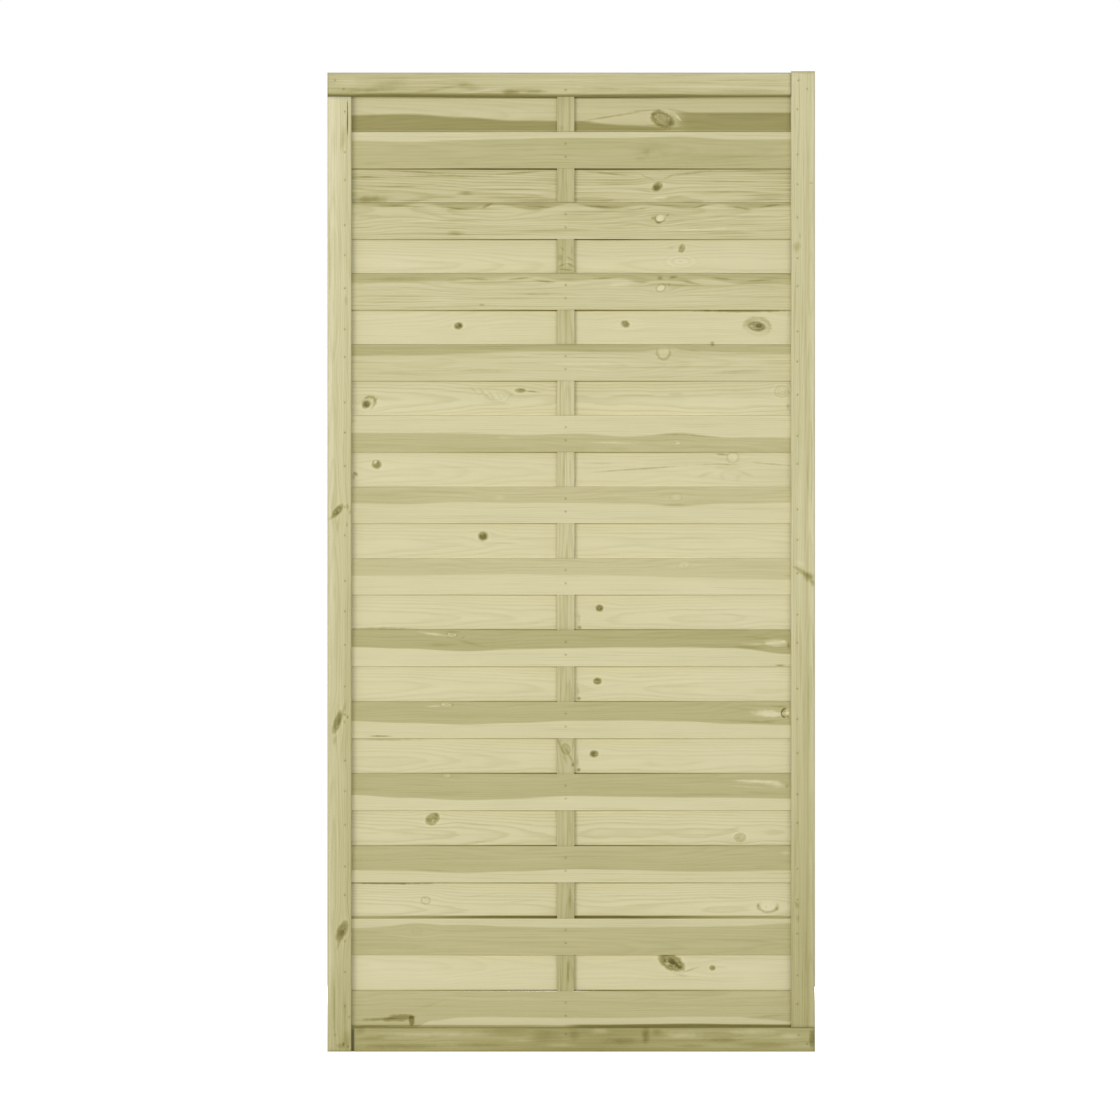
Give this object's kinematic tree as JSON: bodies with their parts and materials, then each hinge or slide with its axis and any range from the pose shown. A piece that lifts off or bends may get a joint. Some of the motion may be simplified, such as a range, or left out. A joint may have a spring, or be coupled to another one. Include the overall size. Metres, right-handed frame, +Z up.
{
  "type": "lap fence panel",
  "caption": "Tall rectangular softwood fence panel: thin slats woven in front of and behind an upright centre batten, lapped at their edges and held between front and back frame battens.",
  "frame": {"origin": "bottom centre of the panel: the middle of its width and of its depth, at the underside of the bottom rails", "axes": "+Z up along the height, +X along the width to the right as seen from the front, +Y towards the back"},
  "size_m": [0.895, 0.042, 1.8],
  "materials": {
    "frame_pine": "planed pressure-treated pine battens, pale green-cream with olive heartwood, matt",
    "batten_pine": "planed pressure-treated pine strip, pale cream with a faint green tint, matt",
    "slat_pine": "thin sawn pressure-treated pine slats with knots and olive heartwood bands, matt",
    "brad_steel": "dull galvanised wire brads, sunk below the wood"
  },
  "bodies": {
    "root": {"front_top_rail": "frame_pine", "front_bottom_rail": "frame_pine", "front_left_stile": "frame_pine", "front_right_stile": "frame_pine", "back_top_rail": "frame_pine", "back_bottom_rail": "frame_pine", "back_left_stile": "frame_pine", "back_right_stile": "frame_pine", "top_left_packer": "frame_pine", "top_right_packer": "frame_pine", "bottom_left_packer": "frame_pine", "bottom_right_packer": "frame_pine", "centre_batten": "batten_pine", "slat_01": "slat_pine", "slat_02": "slat_pine", "slat_03": "slat_pine", "slat_04": "slat_pine", "slat_05": "slat_pine", "slat_06": "slat_pine", "slat_07": "slat_pine", "slat_08": "slat_pine", "slat_09": "slat_pine", "slat_10": "slat_pine", "slat_11": "slat_pine", "slat_12": "slat_pine", "slat_13": "slat_pine", "slat_14": "slat_pine", "slat_15": "slat_pine", "slat_16": "slat_pine", "slat_17": "slat_pine", "slat_18": "slat_pine", "slat_19": "slat_pine", "slat_20": "slat_pine", "slat_21": "slat_pine", "slat_22": "slat_pine", "slat_23": "slat_pine", "slat_24": "slat_pine", "slat_25": "slat_pine", "slat_26": "slat_pine", "left_stile_brads": "brad_steel", "right_stile_brads": "brad_steel", "corner_brads": "brad_steel", "batten_end_brads": "brad_steel", "packer_brads": "brad_steel", "front_slat_brads": "brad_steel", "back_slat_brads": "brad_steel"}
  },
  "joints": []
}
